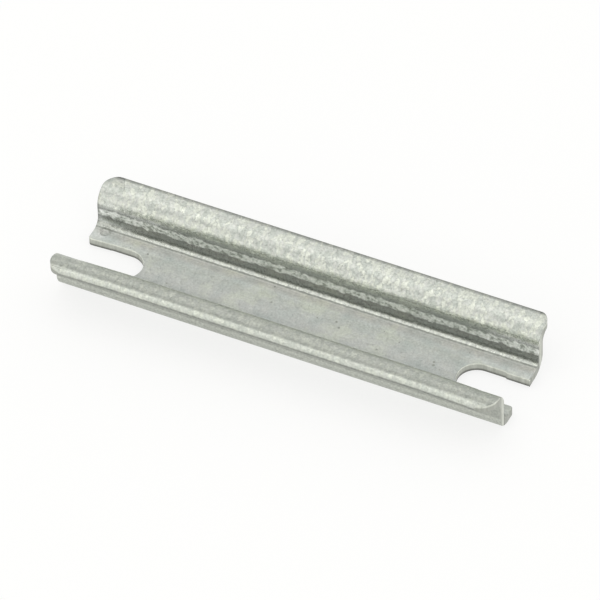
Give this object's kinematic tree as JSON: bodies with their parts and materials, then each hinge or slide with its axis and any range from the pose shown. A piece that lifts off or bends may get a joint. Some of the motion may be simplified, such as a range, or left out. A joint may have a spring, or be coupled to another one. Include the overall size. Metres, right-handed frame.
{
  "type": "din rail",
  "caption": "Short length of miniature top-hat mounting rail in galvanised steel, with outward flanges for clip-on devices and an open-ended screw slot in its base at either end",
  "frame": {"origin": "centre of the underside of the base, the face that is screwed to a panel", "axes": "+X along the rail, +Y across it towards one flange, +Z out of the panel, from the base to the flanges"},
  "size_m": [0.05, 0.015, 0.0055],
  "materials": {
    "rail": "galvanised, satin, with fine spangle"
  },
  "bodies": {
    "root": {"rail": "rail"}
  },
  "joints": []
}
